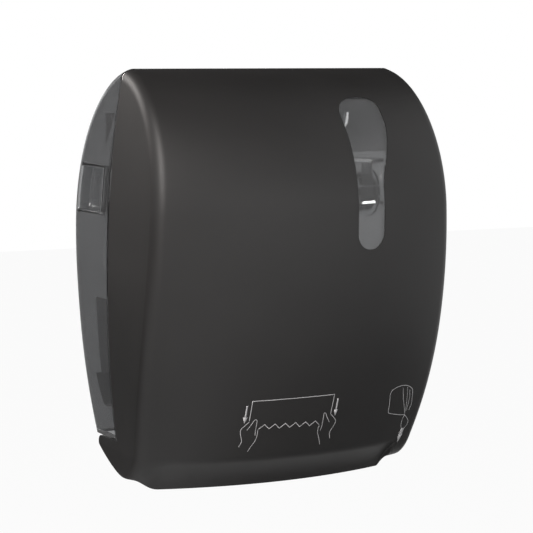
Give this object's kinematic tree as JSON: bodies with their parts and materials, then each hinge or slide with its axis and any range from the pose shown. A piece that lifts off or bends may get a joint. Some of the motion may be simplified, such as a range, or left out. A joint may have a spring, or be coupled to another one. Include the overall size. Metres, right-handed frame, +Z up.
{
  "type": "autocut towel dispenser",
  "caption": "Wall-held paper towel dispenser with a bowed dark front, a clear smoke rear shell, a pear window, and a drum that feeds and cuts each pulled towel.",
  "frame": {"origin": "centre of the four wall screw holes, on the wall plane", "axes": "+X to the right seen from the front, +Y into the wall, +Z up"},
  "size_m": [0.293, 0.217, 0.37],
  "materials": {
    "black_shell": "fine grain, satin",
    "smoke_shell": "clear smoke, polished",
    "smoke_pocket": "clear smoke, polished",
    "smoke_lens": "clear smoke, polished",
    "tray": "moulded, satin",
    "frame_plastic": "moulded, satin",
    "drum_plastic": "moulded, satin",
    "bearing_plastic": "self-lubricating, smooth",
    "arm_plastic": "clear smoke, polished",
    "lever_plastic": "moulded, smooth",
    "steel": "zinc plated",
    "blade_steel": "ground",
    "spring_steel": "drawn wire",
    "lock_metal": "plated",
    "grip_rubber": "fine grain"
  },
  "bodies": {
    "housing": {"back_plate": "tray", "rear_shell": "smoke_shell", "pocket_left": "smoke_pocket", "pocket_right": "smoke_pocket", "side_plate_left": "frame_plastic", "side_plate_right": "frame_plastic", "paper_chute": "frame_plastic", "tie_rods": "steel", "frame_screws": "steel", "drum_bushes": "bearing_plastic", "spring_post": "steel", "crank_spring": "spring_steel", "lever_spring": "spring_steel", "pinch_springs": "spring_steel", "pawl_pin": "steel", "hinge_pins": "steel", "arm_pins": "steel", "lock_housing": "frame_plastic"},
    "drum": {"drum_shaft": "steel", "drum_shell_upper": "drum_plastic", "drum_shell_lower": "drum_plastic", "drum_end_left": "drum_plastic", "drum_end_right": "drum_plastic", "grip_bands": "grip_rubber", "crank_disc": "drum_plastic", "ratchet_wheel": "drum_plastic", "shaft_clip": "steel"},
    "knife": {"knife_holder": "drum_plastic", "knife_blade": "blade_steel", "knife_pins": "steel"},
    "pinch_carrier": {"pinch_blocks": "bearing_plastic"},
    "pinch_roller": {"pinch_shaft": "steel", "pinch_sleeves": "grip_rubber"},
    "lever": {"feed_lever": "lever_plastic"},
    "lever_pawl": {"drive_pawl": "lever_plastic"},
    "stop_pawl": {"holding_pawl": "lever_plastic"},
    "arm_left": {"roll_arm_left": "arm_plastic"},
    "arm_right": {"roll_arm_right": "arm_plastic"},
    "hub_left": {"roll_hub_left": "arm_plastic"},
    "hub_right": {"roll_hub_right": "arm_plastic"},
    "lock": {"lock_barrel": "lock_metal", "lock_tongue": "steel"},
    "cover": {"front_cover": "black_shell", "window_lens": "smoke_lens", "lock_striker": "steel", "hinge_knuckles": "black_shell"}
  },
  "joints": [
    {"name": "cover_hinge", "type": "hinge", "parent": "housing", "child": "cover", "pos_m": [0, -0.054, -0.167], "axis": [1, 0, 0], "range_deg": [0, 85]},
    {"name": "drum_spin", "type": "hinge", "parent": "housing", "child": "drum", "pos_m": [0, -0.085, -0.102], "axis": [1, 0, 0], "continuous": true, "deforming": ["crank_spring"]},
    {"name": "knife_slide", "type": "slide", "parent": "drum", "child": "knife", "axis": [0, -0.5, 0.866], "range_m": [0, 0.009]},
    {"name": "pinch_slide", "type": "slide", "parent": "housing", "child": "pinch_carrier", "axis": [0, 0.5736, 0.8192], "range_m": [0, 0.0025], "stiffness_N_per_m": 800, "deforming": ["pinch_springs"]},
    {"name": "pinch_spin", "type": "hinge", "parent": "pinch_carrier", "child": "pinch_roller", "pos_m": [0, -0.05621, -0.06088], "axis": [1, 0, 0], "continuous": true},
    {"name": "lever_pull", "type": "hinge", "parent": "housing", "child": "lever", "pos_m": [0, -0.085, -0.102], "axis": [1, 0, 0], "range_deg": [0, 28], "stiffness_Nm_per_rad": 0.15, "deforming": ["lever_spring"]},
    {"name": "drive_pawl_pivot", "type": "hinge", "parent": "lever", "child": "lever_pawl", "pos_m": [0, -0.09073, -0.0695], "axis": [-1, 0, 0], "range_deg": [0, 12]},
    {"name": "holding_pawl_pivot", "type": "hinge", "parent": "housing", "child": "stop_pawl", "pos_m": [0, -0.07927, -0.1345], "axis": [-1, 0, 0], "range_deg": [0, 12]},
    {"name": "roll_arm_left_swing", "type": "hinge", "parent": "housing", "child": "arm_left", "pos_m": [-0.107, -0.046, 0.057], "axis": [0, 0, -1], "range_deg": [0, 12]},
    {"name": "roll_arm_right_swing", "type": "hinge", "parent": "housing", "child": "arm_right", "pos_m": [0.107, -0.046, 0.057], "axis": [0, 0, 1], "range_deg": [0, 12]},
    {"name": "roll_hub_left_spin", "type": "hinge", "parent": "arm_left", "child": "hub_left", "pos_m": [-0.096, -0.105, 0.057], "axis": [1, 0, 0], "continuous": true},
    {"name": "roll_hub_right_spin", "type": "hinge", "parent": "arm_right", "child": "hub_right", "pos_m": [0.096, -0.105, 0.057], "axis": [1, 0, 0], "continuous": true},
    {"name": "lock_turn", "type": "hinge", "parent": "housing", "child": "lock", "pos_m": [0, -0.07557, 0.15], "axis": [0, 0, 1], "range_deg": [0, 90]}
  ],
  "couplings": [
    {"joint": "pinch_spin", "follows": "drum_spin", "ratio": -3.5364}
  ]
}
